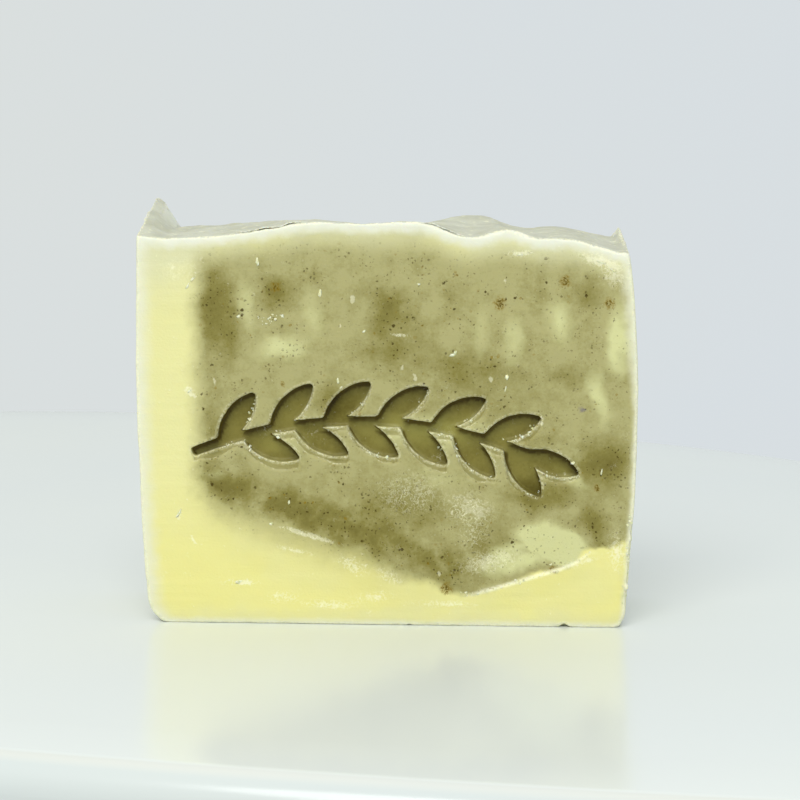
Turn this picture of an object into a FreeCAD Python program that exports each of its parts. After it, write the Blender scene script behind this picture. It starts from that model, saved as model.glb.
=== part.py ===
"""A hand-cut bar of cold-process soap, one solid, standing on its foot.

A loaf of soap set in a flexible mould and was sliced. The section keeps the mould's rounded foot and slightly
bowed sides, the two large faces are wire cuts, and the top is the loaf's own skin: four soft folds run from the
front cut to the rear cut, and a thin lip climbs each mould wall towards the rear. A leafy sprig is pressed into
the front cut, and two small chips are missing from the foot's front edge.

Millimetres, +Z up. X runs across the bar, and -Y is the pressed face. The origin is under the middle of the bar,
on the plane that it stands on.
"""

import FreeCAD, Part
import math
import os

import Sketcher

BAR = {
    "bar_width": 80.0,
    "bar_thickness": 25.0,
    "shoulder_height": 62.0,
    "front_right_fall": 2.5,
    "rear_right_fall": 1.3,
    "right_fall_power": 4,
    "left_foot_corner": 4.0,
    "right_foot_corner": 2.4,
    "left_widest_height": 44.0,
    "right_widest_height": 36.0,
    "left_low_side_radius": 500.0,
    "right_low_side_radius": 390.0,
    "left_high_side_radius": 900.0,
    "right_high_side_radius": 170.0,
    "cut_edge_radius": 0.5,
    "blank_spare": 10.0,
    "cut_overrun": 1.0,
}

# Where each fold of the top crosses the front and the rear cut, how far it rises there, and how far it spreads.
FOLDS = {
    "crown": {"front_place": -8.5, "rear_place": -17.5, "front_rise": 2.9, "rear_rise": 1.45, "spread": 14.4},
    "second": {"front_place": 5.0, "rear_place": 11.0, "front_rise": 1.8, "rear_rise": 2.1, "spread": 5.0},
    "third": {"front_place": 18.8, "rear_place": 16.0, "front_rise": 1.9, "rear_rise": 1.5, "spread": 3.4},
    "fourth": {"front_place": 28.3, "rear_place": 26.8, "front_rise": 1.3, "rear_rise": 1.2, "spread": 4.5},
}

# How far each lip runs in from its mould wall, how wide its worn crest is and how much of the rise is left at the
# crest's inner edge, and the rise at the front and the rear cut.
LIPS = {
    "left": {"lip_run": 4.3, "lip_crest": 1.9, "crest_share": 0.66, "lip_front_rise": 0.5, "lip_rear_rise": 6.1},
    "right": {"lip_run": 3.6, "lip_crest": 2.5, "crest_share": 0.85, "lip_front_rise": 0.1, "lip_rear_rise": 2.0},
}

# The stem is an arc that bows upwards, and its leaves grow from that arc in pairs. Angles are in degrees.
SPRIG = {
    "press_depth": 2.2,
    "sprig_place": -4.0,
    "sprig_height": 33.0,
    "stem_radius": 72.0,
    "stem_width": 1.5,
    "stem_sweep": 44.0,
    "leaf_length": 10.2,
    "leaf_width": 3.8,
    "leaf_splay": 36.0,
    "leaf_stagger": 3.0,
    "leaf_spacing": 6.8,
    "leaf_pairs": 6,
    "end_leaf_length": 10.0,
    "end_leaf_tuck": 1.2,
}

CHIPS = {
    "small_chip": {"place": 3.9, "length": 1.1, "height": 0.6, "depth": 0.9},
    "large_chip": {"place": 28.7, "length": 2.4, "height": 0.8, "depth": 1.4},
}

NODE = "soap_bar"
TOP_SECTIONS = 4
TOP_POLES = 29
SPLINE_DEGREE = 3
TOLERANCE = 0.01
START, END, CENTRE = 1, 2, 3
ORIGIN = (-1, 1)

doc = FreeCAD.newDocument("SoapBar")
sheet = doc.addObject("Spreadsheet::Sheet", "dims")


def fill_sheet():
    """Writes every driving dimension to a cell of its own."""
    values = {**BAR, **SPRIG}
    for group in (FOLDS, LIPS, CHIPS):
        for part, sizes in group.items():
            values.update({f"{part}_{size}": value for size, value in sizes.items()})
    for row, (name, value) in enumerate(values.items(), start=1):
        sheet.set(f"A{row}", name)
        sheet.set(f"B{row}", str(value))
        sheet.setAlias(f"B{row}", name)
    doc.recompute()


def number(text):
    """The value of an expression in the sheet's cells."""
    value = sheet.evalExpression(text)
    return float(getattr(value, "Value", value))


def point(corner):
    """A corner, given as two expressions, as a point of a sketch."""
    return FreeCAD.Vector(number(corner[0]), number(corner[1]), 0)


def pin(geometry, end, corner):
    """The two dimensions that hold one point of a sketch at a corner."""
    place = (*ORIGIN, geometry, end)
    return [("DistanceX", place, corner[0]), ("DistanceY", place, corner[1])]


def bind(sketch, dimensions):
    """Adds dimensions to a sketch, each a kind, what it measures, and the expression that drives it."""
    first = sketch.ConstraintCount
    sketch.addConstraint([Sketcher.Constraint(kind, *what, number(text)) for kind, what, text in dimensions])
    for index, dimension in enumerate(dimensions, start=first):
        sketch.setExpression(f"Constraints[{index}]", dimension[2])


def face_sketch(body, name, depth, origin=("0", "0")):
    """A sketch parallel to the cuts, a depth behind the front one, with its origin at a place in that plane."""
    plane = next(item for item in body.Origin.OriginFeatures if item.Role == "XZ_Plane")
    sketch = body.newObject("Sketcher::SketchObject", name)
    sketch.AttachmentSupport = [(plane, "")]
    sketch.MapMode = "FlatFace"
    sketch.setExpression("AttachmentOffset.Base.x", origin[0])
    sketch.setExpression("AttachmentOffset.Base.y", origin[1])
    sketch.setExpression("AttachmentOffset.Base.z", f"dims.bar_thickness / 2 - ({depth})")
    return sketch


def short_arc(start, end, radius):
    """The short arc that runs anticlockwise from start to end."""
    half = (end - start) / 2
    reach = math.sqrt(radius**2 - half.Length**2)
    centre = start + half + FreeCAD.Vector(-half.y, half.x, 0).normalize() * reach
    angles = [math.atan2(tip.y - centre.y, tip.x - centre.x) for tip in (start, end)]
    if angles[1] < angles[0]:
        angles[1] += 2 * math.pi
    return Part.ArcOfCircle(Part.Circle(centre, FreeCAD.Vector(0, 0, 1), radius), *angles)


def spline(points):
    """A clamped curve drawn through its first and last points, with the others as its poles."""
    curve = Part.BSplineCurve()
    curve.buildFromPoles(points, False, SPLINE_DEGREE)
    return curve


def draw_loop(sketch, corners, bulges=None, hollows=None, splines=None):
    """Draws a closed outline anticlockwise through its corners.

    A side is known by the number of the corner that it leaves. bulges and hollows give the radius of a side that
    is an arc, bowed outwards or inwards, and splines give a side's inner poles. The other sides are straight.
    """
    bulges, hollows, splines = bulges or {}, hollows or {}, splines or {}
    sides = []
    dimensions = []
    for side, corner in enumerate(corners):
        start, end = point(corner), point(corners[(side + 1) % len(corners)])
        ends = (START, END)
        if side in bulges:
            geometry = sketch.addGeometry(short_arc(start, end, number(bulges[side])), False)
            dimensions.append(("Radius", (geometry,), bulges[side]))
        elif side in hollows:
            geometry = sketch.addGeometry(short_arc(end, start, number(hollows[side])), False)
            dimensions.append(("Radius", (geometry,), hollows[side]))
            ends = (END, START)
        elif side in splines:
            geometry = sketch.addGeometry(spline([start, *map(point, splines[side]), end]), False)
            sketch.exposeInternalGeometry(geometry)
            for pole, place in enumerate(splines[side], start=geometry + 2):
                dimensions.extend(pin(pole, CENTRE, place))
        else:
            geometry = sketch.addGeometry(Part.LineSegment(start, end), False)
        sides.append((geometry, *ends))
        dimensions.extend(pin(geometry, ends[0], corner))
    for (geometry, _, end), (following, start, _) in zip(sides, sides[1:] + sides[:1]):
        sketch.addConstraint(Sketcher.Constraint("Coincident", geometry, end, following, start))
    bind(sketch, dimensions)


def add_feature(body, kind, name, sizes, **settings):
    """Adds a feature to the bar, with its sizes driven by expressions."""
    feature = body.newObject(f"PartDesign::{kind}", name)
    for setting, value in settings.items():
        setattr(feature, setting, value)
    for size, text in sizes.items():
        feature.setExpression(size, text)
    doc.recompute()
    return feature


def round_edges(body, name, base, radius, is_wanted):
    """Rounds those edges of the bar whose bounding boxes are wanted."""
    edges = [f"Edge{count}" for count, edge in enumerate(base.Shape.Edges, start=1) if is_wanted(edge.BoundBox)]
    return add_feature(body, "Fillet", name, {"Radius": f"dims.{radius}"}, Base=(base, edges))


def side_place(side, level, height):
    """How far out the mould's wall stands at a height, on the arc below or above the bar's widest place."""
    sign = "-" if side == "left" else ""
    radius = f"dims.{side}_{level}_side_radius"
    return f"{sign}(dims.bar_width / 2 - {radius} + sqrt({radius}^2 - ({height} - dims.{side}_widest_height)^2))"


def make_blank(body):
    """The loaf's section between two wire cuts: a flat foot, two bowed sides and a lid above the highest lip."""
    lid = "(dims.shoulder_height + dims.blank_spare)"
    corners = [
        (side_place("left", "low", "0"), "0"),
        (side_place("right", "low", "0"), "0"),
        ("dims.bar_width / 2", "dims.right_widest_height"),
        (side_place("right", "high", lid), lid),
        (side_place("left", "high", lid), lid),
        ("-dims.bar_width / 2", "dims.left_widest_height"),
    ]
    bulges = {
        1: "dims.right_low_side_radius",
        2: "dims.right_high_side_radius",
        4: "dims.left_high_side_radius",
        5: "dims.left_low_side_radius",
    }
    section = face_sketch(body, "LoafSection", "dims.bar_thickness / 2")
    draw_loop(section, corners, bulges)
    doc.recompute()
    return add_feature(body, "Pad", "Blank", {"Length": "dims.bar_thickness"}, Profile=section,
        SideType="Symmetric")


def fold_height(place, depth):
    """The height of the loaf's top at a place across the bar and a depth behind the front cut."""
    fall = between("front_right_fall", "rear_right_fall", depth)
    reach = f"(max(0; {place}) / (dims.bar_width / 2))"
    text = f"dims.shoulder_height - {fall} * {reach}^dims.right_fall_power"
    for fold in FOLDS:
        crossing = between(f"{fold}_front_place", f"{fold}_rear_place", depth)
        rise = between(f"{fold}_front_rise", f"{fold}_rear_rise", depth)
        text += f" + {rise} / exp((({place} - {crossing}) / dims.{fold}_spread)^2)"
    return text


def between(front, rear, depth):
    """What a size that changes evenly from the front cut to the rear cut comes to at a depth."""
    return f"(dims.{front} + (dims.{rear} - dims.{front}) * {depth} / dims.bar_thickness)"


def top_section(body, station):
    """What the top leaves open above it, in one of the planes from the front cut to the rear cut."""
    share = station / (TOP_SECTIONS - 1)
    depth = f"({share} * (dims.bar_thickness + 2 * dims.cut_overrun) - dims.cut_overrun)"
    lid = "dims.shoulder_height + dims.blank_spare + dims.cut_overrun"
    left, right = "-dims.bar_width / 2", "dims.bar_width / 2"
    first, last = f"({left} + dims.left_lip_run)", f"({right} - dims.right_lip_run)"

    def lip(side, place, share_left):
        rise = between(f"{side}_lip_front_rise", f"{side}_lip_rear_rise", depth)
        return place, f"{fold_height(f'({place})', depth)} + {share_left} * {rise}"

    poles = []
    for pole in range(TOP_POLES):
        place = f"({first} + {pole / (TOP_POLES - 1)} * ({last} - {first}))"
        poles.append((place, fold_height(place, depth)))
    corners = [
        (f"{left} - dims.cut_overrun", lid),
        lip("left", f"{left} - dims.cut_overrun", 1),
        lip("left", f"{left} + dims.left_lip_crest", "dims.left_crest_share"),
        poles[0],
        poles[-1],
        lip("right", f"{right} - dims.right_lip_crest", "dims.right_crest_share"),
        lip("right", f"{right} + dims.cut_overrun", 1),
        (f"{right} + dims.cut_overrun", lid),
    ]
    section = face_sketch(body, f"TopSection{station}", depth)
    draw_loop(section, corners, splines={3: poles[1:-1]})
    return section


def cut_top(body):
    """The loaf's own top, with its folds and lips."""
    sections = [top_section(body, station) for station in range(TOP_SECTIONS)]
    doc.recompute()
    return add_feature(body, "SubtractiveLoft", "Top", {}, Profile=sections[0], Sections=sections[1:])


def on_stem(angle, out="0", along="0"):
    """A corner at an angle round the stem's arc, so far out from it and so far on along it."""
    radius = f"(dims.stem_radius + {out})"
    return f"{radius} * sin({angle}) + {along} * cos({angle})", f"{radius} * cos({angle}) - {along} * sin({angle})"


def press(body, name, origin, depth, corners, bulges=None, hollows=None):
    """Sinks an outline into the front cut."""
    outline = face_sketch(body, f"{name}Outline", "0", origin)
    draw_loop(outline, corners, bulges, hollows)
    doc.recompute()
    return add_feature(body, "Pocket", name, {"Length": depth}, Profile=outline)


def press_sprig(body):
    """A bowed stem with a row of pointed leaves on each side and one leaf at its end."""
    origin = ("dims.sprig_place", "dims.sprig_height - dims.stem_radius")
    half_width = "dims.stem_width / 2"
    first, last = "(-dims.stem_sweep / 2)", "(dims.stem_sweep / 2)"
    first_leaf = "(-dims.leaf_spacing * (dims.leaf_pairs - 1) / 2 - dims.leaf_stagger / 2)"
    stem_corners = [
        on_stem(first, f"-{half_width}"),
        on_stem(last, f"-{half_width}"),
        on_stem(last, half_width),
        on_stem(first, half_width),
    ]

    def leaf(name, angle, length, splay):
        bulge = f"({length}^2 + dims.leaf_width^2) / (4 * dims.leaf_width)"
        tip = on_stem(angle, f"{length} * sin({splay})", f"{length} * cos({splay})")
        return press(body, name, origin, "dims.press_depth", [on_stem(angle), tip], {0: bulge, 1: bulge})

    press(body, "Stem", origin, "dims.press_depth", stem_corners, {2: f"dims.stem_radius + {half_width}"},
        {0: f"dims.stem_radius - {half_width}"})
    leaf("EndLeaf", f"({last} - dims.end_leaf_tuck)", "dims.end_leaf_length", "0")
    outer = leaf("OuterLeaf", first_leaf, "dims.leaf_length", "dims.leaf_splay")
    inner = leaf("InnerLeaf", f"({first_leaf} + dims.leaf_stagger)", "dims.leaf_length", "(-dims.leaf_splay)")
    rows = add_feature(body, "PolarPattern", "LeafRows",
        {"Angle": "dims.leaf_spacing * (dims.leaf_pairs - 1)", "Occurrences": "dims.leaf_pairs"},
        Originals=[outer, inner], Axis=(outer.Profile[0], ["N_Axis"]), Reversed=True)
    body.Tip = rows
    doc.recompute()


def break_foot(body):
    """The chips that are missing from the foot's front edge."""
    for chip in CHIPS:
        half_length = f"dims.{chip}_length / 2"
        corners = [(f"-{half_length}", "0"), (half_length, "0"), ("0", f"dims.{chip}_height")]
        name = chip.title().replace("_", "")
        press(body, name, (f"dims.{chip}_place", "0"), f"dims.{chip}_depth", corners)


def make_bar():
    """The whole bar, from the loaf's section to the chips."""
    body = doc.addObject("PartDesign::Body", "SoapBar")
    body.Label = NODE
    half_thickness = number("dims.bar_thickness / 2")
    blank = make_blank(body)
    left_foot = round_edges(body, "LeftFoot", blank, "left_foot_corner",
        lambda box: box.ZMax < TOLERANCE and box.YMax - box.YMin > half_thickness and box.XMax < 0)
    foot = round_edges(body, "RightFoot", left_foot, "right_foot_corner",
        lambda box: box.ZMax < TOLERANCE and box.YMax - box.YMin > half_thickness and box.XMin > 0)
    lid_height = foot.Shape.BoundBox.ZMax
    round_edges(body, "CutEdges", foot, "cut_edge_radius",
        lambda box: box.YMax - box.YMin < TOLERANCE and box.ZMin < lid_height - TOLERANCE)
    cut_top(body)
    press_sprig(body)
    break_foot(body)
    return body


def check(body):
    """Stops if a feature failed, if a cut took nothing away, or if the bar isn't one sound solid."""
    for item in doc.Objects:
        if "Invalid" in item.State or "Error" in item.State:
            raise RuntimeError(f"{item.Label} failed: {item.State}")
    for feature in body.Group:
        if feature.TypeId in ("PartDesign::Pocket", "PartDesign::SubtractiveLoft"):
            if len(feature.Shape.Faces) <= len(feature.BaseFeature.Shape.Faces):
                raise RuntimeError(f"{feature.Label} takes nothing away")
    if body.Shape.isNull() or not body.Shape.isValid() or len(body.Shape.Solids) != 1:
        raise RuntimeError("the bar isn't one sound solid")


fill_sheet()
bar = make_bar()
doc.recompute()
check(bar)
os.makedirs("parts", exist_ok=True)
bar.Shape.exportStep(f"parts/{NODE}.step")
print(NODE, "volume in cubic centimetres:", round(bar.Shape.Volume / 1000, 2))
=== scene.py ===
"""The look of a hand-cut bar of cold-process soap, laid out as an add-on and run as a script.

The bar is made from the frame's own solid: its surface is divided evenly, then worn, waved and crumbled,
and its marbling is worked out in the material from soft pools of colour. Names that end in _mm hold
millimetres, and so do the points that the shaping functions work on. Objects are in metres, in the
frame's axes.
"""

import math

import bmesh
import bpy
import numpy as np
from mathutils import Matrix, Vector
from mathutils.bvhtree import BVHTree


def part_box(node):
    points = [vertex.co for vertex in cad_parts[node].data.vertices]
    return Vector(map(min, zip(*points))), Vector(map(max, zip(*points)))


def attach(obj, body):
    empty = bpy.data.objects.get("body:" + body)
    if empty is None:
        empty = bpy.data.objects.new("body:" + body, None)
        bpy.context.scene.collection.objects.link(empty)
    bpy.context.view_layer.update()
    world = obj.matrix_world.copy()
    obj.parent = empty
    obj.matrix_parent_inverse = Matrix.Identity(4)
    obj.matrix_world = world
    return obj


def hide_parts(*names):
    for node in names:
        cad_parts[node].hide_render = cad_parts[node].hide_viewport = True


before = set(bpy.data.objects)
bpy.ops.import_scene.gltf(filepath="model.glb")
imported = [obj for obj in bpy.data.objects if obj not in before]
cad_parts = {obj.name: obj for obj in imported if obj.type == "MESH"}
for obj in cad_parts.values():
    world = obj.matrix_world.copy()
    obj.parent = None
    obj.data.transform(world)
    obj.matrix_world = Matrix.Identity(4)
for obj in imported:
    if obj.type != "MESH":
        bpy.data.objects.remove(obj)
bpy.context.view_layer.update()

bl_info = {
    "name": "Hand-cut bar of soap",
    "version": (1, 0, 0),
    "blender": (4, 5, 0),
    "location": "3D View > Sidebar > Soap",
    "description": "Makes a marbled, worn bar of soap with a pressed sprig, and the studio it stands in",
    "category": "Object",
}

NODE = "soap_bar"
DRESSED = "soap_bar_dressed"
BODY = "root"
MM = 0.001
CAD_LOW, CAD_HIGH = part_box(NODE)
FRONT_MM = CAD_LOW.y / MM
REAR_MM = CAD_HIGH.y / MM
TOP_MM = CAD_HIGH.z / MM
SEED = 41

# Rays start this far out, clear of the bar.
FAR_MM = 200.0

# How deep the sprig is pressed, and the two corners of the part of the front that holds it.
PRESS_DEPTH_MM = 2.2
PRESS_MM = ((-34, 17), (32, 42))

# Large odd numbers that scramble a cell's place and a seed into a random height.
PLACE_MIX = np.array((73856093, 19349663, 83492791))
SEED_MIX, FIRST_MIX, SECOND_MIX = 2654435761, 1274126177, 2246822519


def hex_colour(text):
    """A colour written as six hexadecimal digits, as the linear red, green and blue that the shaders use."""
    parts = (int(text[place:place + 2], 16) / 255 for place in (0, 2, 4))
    return tuple(part / 12.92 if part <= 0.04045 else ((part + 0.055) / 1.055) ** 2.4 for part in parts)


def colour_setting(name, text, description):
    """A setting that holds a colour."""
    return bpy.props.FloatVectorProperty(name=name, description=description, default=hex_colour(text),
        subtype="COLOR", size=3, min=0, max=1)


def length_setting(name, length_mm, description):
    """A setting that holds a length."""
    return bpy.props.FloatProperty(name=name, description=description, default=length_mm * MM, min=0,
        unit="LENGTH", subtype="DISTANCE")


def place_setting(name, place, description):
    """A setting that holds a place, in metres."""
    return bpy.props.FloatVectorProperty(name=name, description=description, default=place, unit="LENGTH",
        subtype="TRANSLATION")


def power_setting(name, watts, description):
    """A setting that holds a softbox's power."""
    return bpy.props.FloatProperty(name=name, description=description, default=watts, min=0, unit="POWER")


class BarSettings(bpy.types.PropertyGroup):
    """How finely the bar is divided and how worn it is."""

    cell: length_setting("Cell", 0.27, "Width of the even cells that the bar's surface is divided into")
    most_triangles: bpy.props.IntProperty(name="Most triangles", default=186000, min=1000,
        description="What the bar's mesh is thinned to")
    edge_wear: bpy.props.FloatProperty(name="Edge wear", default=0.9, min=0, max=2, subtype="FACTOR",
        description="How far the sharp edges are rubbed down")
    cut_wave: length_setting("Cut wave", 0.10, "Height of the slow waves that the wire left in the cut faces")
    drag: length_setting("Drag", 0.03, "Height of the lines that the wire dragged across the cut faces")
    wall_pits: length_setting("Wall pits", 0.18, "Depth of the pits that air left against the mould's walls")
    skin_wave: length_setting("Skin wave", 0.28, "Height of the ripples in the loaf's top")
    rim_crumble: length_setting("Rim crumble", 0.30, "How far crumbs stand up along the pressed rims")
    slip: length_setting("Slip", 1.2, "How far the stamp slipped down while it was pressed")
    slip_depth: length_setting("Slip depth", 0.8, "Depth of the ledge that the slip left")
    seam_step: length_setting("Seam step", 0.3, "How far the soap below the seam stands proud")


class CrumbSettings(bpy.types.PropertyGroup):
    """The crumbs that stick to the bar, and the skin that lifts from its top edge."""

    rim_crumbs: bpy.props.IntProperty(name="Rim crumbs", default=170, min=0,
        description="How many crumbs stick to the lower rims of the pressed sprig")
    edge_crumbs: bpy.props.IntProperty(name="Edge crumbs", default=90, min=0,
        description="How many crumbs stick to the right edge, the seam and the ring")
    smallest: length_setting("Smallest crumb", 0.10, "Half the length of the smallest crumb")
    largest: length_setting("Largest crumb", 0.30, "Half the length of the largest crumb")
    skin_thickness: length_setting("Skin thickness", 0.18,
        "Thickness of the skin that lifts from the top edge")
    skin_lift: length_setting("Skin lift", 0.55, "How far that skin lifts")


class MarblingSettings(bpy.types.PropertyGroup):
    """The colours of the two batches of soap, and of what is in and on them."""

    yellow: colour_setting("Yellow", "e9e294", "Plain batch, where it is thickest")
    pale_yellow: colour_setting("Pale yellow", "e5e0a0", "Plain batch, up the mould's wall")
    cap: colour_setting("Cap", "d9d7ac", "Plain batch, under the loaf's top")
    olive: colour_setting("Olive", "afa974", "Herb batch, where it is even")
    dark_olive: colour_setting("Dark olive", "898144", "Herb batch, where it pools")
    deep_olive: colour_setting("Deep olive", "6b6127", "Herb batch, at the heart of a pool")
    cream: colour_setting("Cream", "d3d299", "Plain batch that is folded into the herb batch")
    rim: colour_setting("Rim", "e5e4c8", "Dried outer rim")
    bloom: colour_setting("Bloom", "e6e7da", "Ash along the top edge of the cut faces")
    # Painted shade: this top colour is darker and greyer than pale ashy soap, standing in for the shade on
    # the loaf's top.
    skin: colour_setting("Skin", "b6b59e", "Ash on the loaf's top")
    herb: colour_setting("Herb", "443606", "Ground herb")
    petal: colour_setting("Petal", "8a7010", "Ground petal")
    violet: colour_setting("Violet", "645a78", "A single violet grain")
    chalk: colour_setting("Chalk", "faf7d6", "Soap that was rubbed dry")


class StudioSettings(bpy.types.PropertyGroup):
    """The camera, the lights and the floor."""

    camera_place: place_setting("Camera place", (0.0160, -0.4095, 0.0892), "Where the camera stands")
    camera_aim: place_setting("Camera aim", (0.00218, -0.0125, 0.03654), "What the camera looks at")
    camera_roll: bpy.props.FloatProperty(name="Camera roll", subtype="ANGLE", default=math.radians(0.3),
        description="How far the camera is turned about its own line of sight")
    lens: bpy.props.FloatProperty(name="Lens", subtype="DISTANCE_CAMERA", default=113.5, min=1,
        description="Focal length on a 36 mm sensor")
    key_power: power_setting("Key power", 5.1, "Power of the softbox above and to the left")
    fill_power: power_setting("Fill power", 0.15, "Power of the softbox in front")
    surround_left: colour_setting("Surround, left", "dadfde", "Pale paper round the set, on its warm side")
    surround_right: colour_setting("Surround, right", "d7dee3", "Pale paper round the set, on its cool side")
    floor: colour_setting("Floor", "e6e8de", "The gloss-painted board that the bar stands on")
    floor_radius: length_setting("Floor radius", 252, "Radius of the board's rounded back edge")


def smooth(values, low, high):
    """0 below low, 1 above high, and an even curve between them."""
    share = np.clip((values - low) / (high - low), 0, 1)
    return share * share * (3 - 2 * share)


def hills(points_mm, width_mm, seed):
    """Smooth random heights between -1 and 1, with hills about a width across, or one width for each axis."""
    scaled = points_mm / np.asarray(width_mm, float)
    cell = np.floor(scaled).astype(np.int64)
    part = scaled - cell
    part = part * part * part * (part * (part * 6 - 15) + 10)
    total = np.zeros(len(points_mm))
    for corner in np.ndindex(2, 2, 2):
        mixed = (cell + corner) @ PLACE_MIX + seed * SEED_MIX
        mixed = (mixed ^ (mixed >> 13)) * FIRST_MIX & 0xFFFFFFFF
        mixed = (mixed ^ (mixed >> 16)) * SECOND_MIX & 0xFFFFFFFF
        height = (mixed ^ (mixed >> 15)) / 0x7FFFFFFF - 1
        weight = np.prod(np.where(corner, part, 1 - part), axis=1)
        total += height * weight
    return total


class Grid:
    """Heights on an even grid, read back smoothly between its points."""

    def __init__(self, low, step, heights):
        self.low = low
        self.step = step
        self.heights = heights

    @classmethod
    def measured(cls, low, high, step, height_at):
        """A grid between two corners, with each height given by a function of its place."""
        low = np.array(low, float)
        counts = np.ceil((np.array(high) - low) / step).astype(int) + 1
        heights = [[height_at(*(low + step * np.array((i, j)))) for j in range(counts[1])]
            for i in range(counts[0])]
        return cls(low, step, np.array(heights))

    def at(self, across, along):
        """Heights at places given as two arrays."""
        last = np.array(self.heights.shape) - 1.001
        places = np.stack((across, along), axis=1)
        spots = np.clip((places - self.low) / self.step, 0, last)
        cell = spots.astype(int)
        part = spots - cell
        i, j = cell.T
        near = self.heights[i, j] * (1 - part[:, 0]) + self.heights[i + 1, j] * part[:, 0]
        far = self.heights[i, j + 1] * (1 - part[:, 0]) + self.heights[i + 1, j + 1] * part[:, 0]
        return near * (1 - part[:, 1]) + far * part[:, 1]

    def blurred(self, radius):
        """The same grid with each height averaged over the points within a radius along both ways."""
        reach = max(1, round(radius / self.step))
        kernel = np.hanning(2 * reach + 3)[1:-1]
        kernel /= kernel.sum()
        heights = self.heights
        for axis in (0, 1):
            heights = np.apply_along_axis(np.convolve, axis, heights, kernel, "same")
        return Grid(self.low, self.step, heights)


def surface_of(mesh):
    """A mesh's surface in millimetres, to send rays at."""
    points = [vertex.co / MM for vertex in mesh.vertices]
    return BVHTree.FromPolygons(points, [tuple(face.vertices) for face in mesh.polygons])


class BarShape:
    """The plain solid, measured by rays: its top, its two walls, and how deep its front is pressed."""

    def __init__(self, mesh):
        self.surface = surface_of(mesh)
        half_width = CAD_HIGH.x / MM
        # The outermost rays at the top are drawn in a little, so that they meet the solid.
        self.top = Grid.measured((-half_width, FRONT_MM), (half_width, REAR_MM), 0.5,
            lambda x, y: self.hit((x * 0.985, y * 0.96, FAR_MM), (0, 0, -1), 2))
        self.left = Grid.measured((0, -1), (TOP_MM, 1), 0.5,
            lambda z, y: self.hit((-FAR_MM, y, z), (1, 0, 0), 0))
        self.right = Grid.measured((0, -1), (TOP_MM, 1), 0.5,
            lambda z, y: self.hit((FAR_MM, y, z), (-1, 0, 0), 0))
        self.press = Grid.measured(*PRESS_MM, 0.2,
            lambda x, z: self.hit((x, -FAR_MM, z), (0, 1, 0), 1) - FRONT_MM)

    def hit(self, start, way, axis):
        """Where a ray first meets the solid, along one axis. A ray that misses meets it at the middle."""
        place = self.surface.ray_cast(Vector(start), Vector(way))[0]
        return place[axis] if place else 0.0


def link(thing):
    """Puts a new object in the scene."""
    bpy.context.scene.collection.objects.link(thing)
    return thing


def even_copy(source, name, cell):
    """A copy of a solid whose surface is divided into even cells."""
    piece = link(bpy.data.objects.new(name, source.data.copy()))
    remesh = piece.modifiers.new("Even cells", "REMESH")
    remesh.mode = "VOXEL"
    remesh.voxel_size = cell
    apply_modifiers(piece)
    return piece


def apply_modifiers(piece):
    """Gives a piece the mesh that its modifiers make, and takes them off."""
    depsgraph = bpy.context.evaluated_depsgraph_get()
    mesh = bpy.data.meshes.new_from_object(piece.evaluated_get(depsgraph))
    piece.modifiers.clear()
    old = piece.data
    piece.data = mesh
    bpy.data.meshes.remove(old)


def shade_smooth(mesh):
    """Smooths a mesh's shading over all its faces."""
    mesh.polygons.foreach_set("use_smooth", np.ones(len(mesh.polygons), bool))


def read_points(mesh):
    """A mesh's points in millimetres, one to a row."""
    flat = np.empty(len(mesh.vertices) * 3)
    mesh.vertices.foreach_get("co", flat)
    return flat.reshape(-1, 3) / MM


def read_normals(mesh):
    """Which way a mesh's surface faces at each point."""
    flat = np.empty(len(mesh.vertices) * 3)
    mesh.vertex_normals.foreach_get("vector", flat)
    return flat.reshape(-1, 3)


def write_points(mesh, points_mm):
    """Moves a mesh's points to places in millimetres."""
    mesh.vertices.foreach_set("co", (points_mm * MM).ravel())
    mesh.update()


def slack(mesh, points_mm, rounds):
    """How far each point would move if the surface were relaxed for some rounds: inwards at a sharp edge."""
    ends = np.empty(len(mesh.edges) * 2, int)
    mesh.edges.foreach_get("vertices", ends)
    first, second = ends.reshape(-1, 2).T
    count = np.bincount(ends, minlength=len(points_mm))[:, None]
    relaxed = points_mm.copy()
    for _ in range(rounds):
        total = np.stack([np.bincount(first, relaxed[second, axis], len(relaxed))
            + np.bincount(second, relaxed[first, axis], len(relaxed)) for axis in range(3)], axis=1)
        relaxed += 0.5 * (total / count - relaxed)
    return relaxed - points_mm


def paint(mesh, name, values):
    """Keeps a value at every point of a mesh, for its material to read."""
    layer = mesh.attributes.new(name, "FLOAT", "POINT")
    layer.data.foreach_set("value", np.asarray(values, np.float32))


# Two turns in one, so that the cells of a noise don't line up with the bar.
TURNED = np.array(Matrix.Rotation(0.7, 3, "X") @ Matrix.Rotation(0.5, 3, "Z"))

# The seam at the lower right, where one batch lies on the other: places across and their heights.
SEAM_MM = ((10.4, 5.6), (13.6, 5.3), (20.0, 7.2), (27.9, 9.7), (30.3, 10.7), (32.7, 12.4))

# Below this height the worn edge of the foot is drawn down to the floor.
FOOT_MM = 0.9


def seam_height(across):
    """How high the seam lies at a place across the front."""
    places = np.array(SEAM_MM)
    return np.interp(across, places[:, 0], places[:, 1])


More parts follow.
